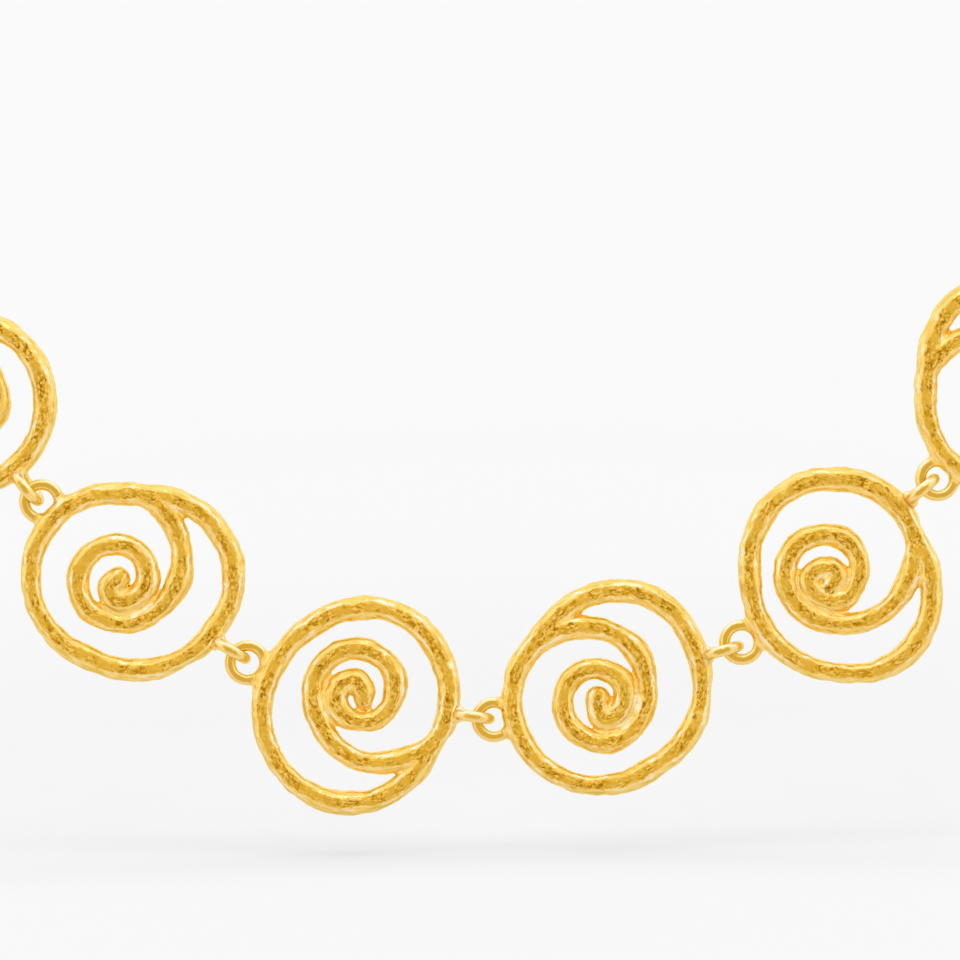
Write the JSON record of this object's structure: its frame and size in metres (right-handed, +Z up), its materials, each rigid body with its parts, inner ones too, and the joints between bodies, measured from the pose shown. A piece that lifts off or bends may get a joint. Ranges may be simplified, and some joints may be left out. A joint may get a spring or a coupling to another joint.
{
  "type": "spiral chain necklace",
  "caption": "Short necklace of open cast spiral links hung ring in ring, closed at the nape by a hook clasp; held in its worn form.",
  "frame": {"origin": "where the bar of the clasp rests on the nape, at the middle of the bar's neck-side face", "axes": "+X to the wearer's left, +Y to the back, away from the nape, +Z up; the front of the necklace hangs lowest, toward -Y"},
  "size_m": [0.1579, 0.1075, 0.1048],
  "materials": {
    "gold": "cast and hammered, polished on the sides, with a worn and finely pitted crest"
  },
  "bodies": {
    "root": {"spiral_link_01": "gold", "spiral_link_02": "gold", "spiral_link_03": "gold", "spiral_link_04": "gold", "spiral_link_05": "gold", "spiral_link_06": "gold", "spiral_link_07": "gold", "spiral_link_08": "gold", "spiral_link_09": "gold", "spiral_link_10": "gold", "spiral_link_11": "gold", "spiral_link_12": "gold", "spiral_link_13": "gold", "spiral_link_14": "gold", "spiral_link_15": "gold", "spiral_link_16": "gold", "hook_clasp": "gold"}
  },
  "joints": []
}
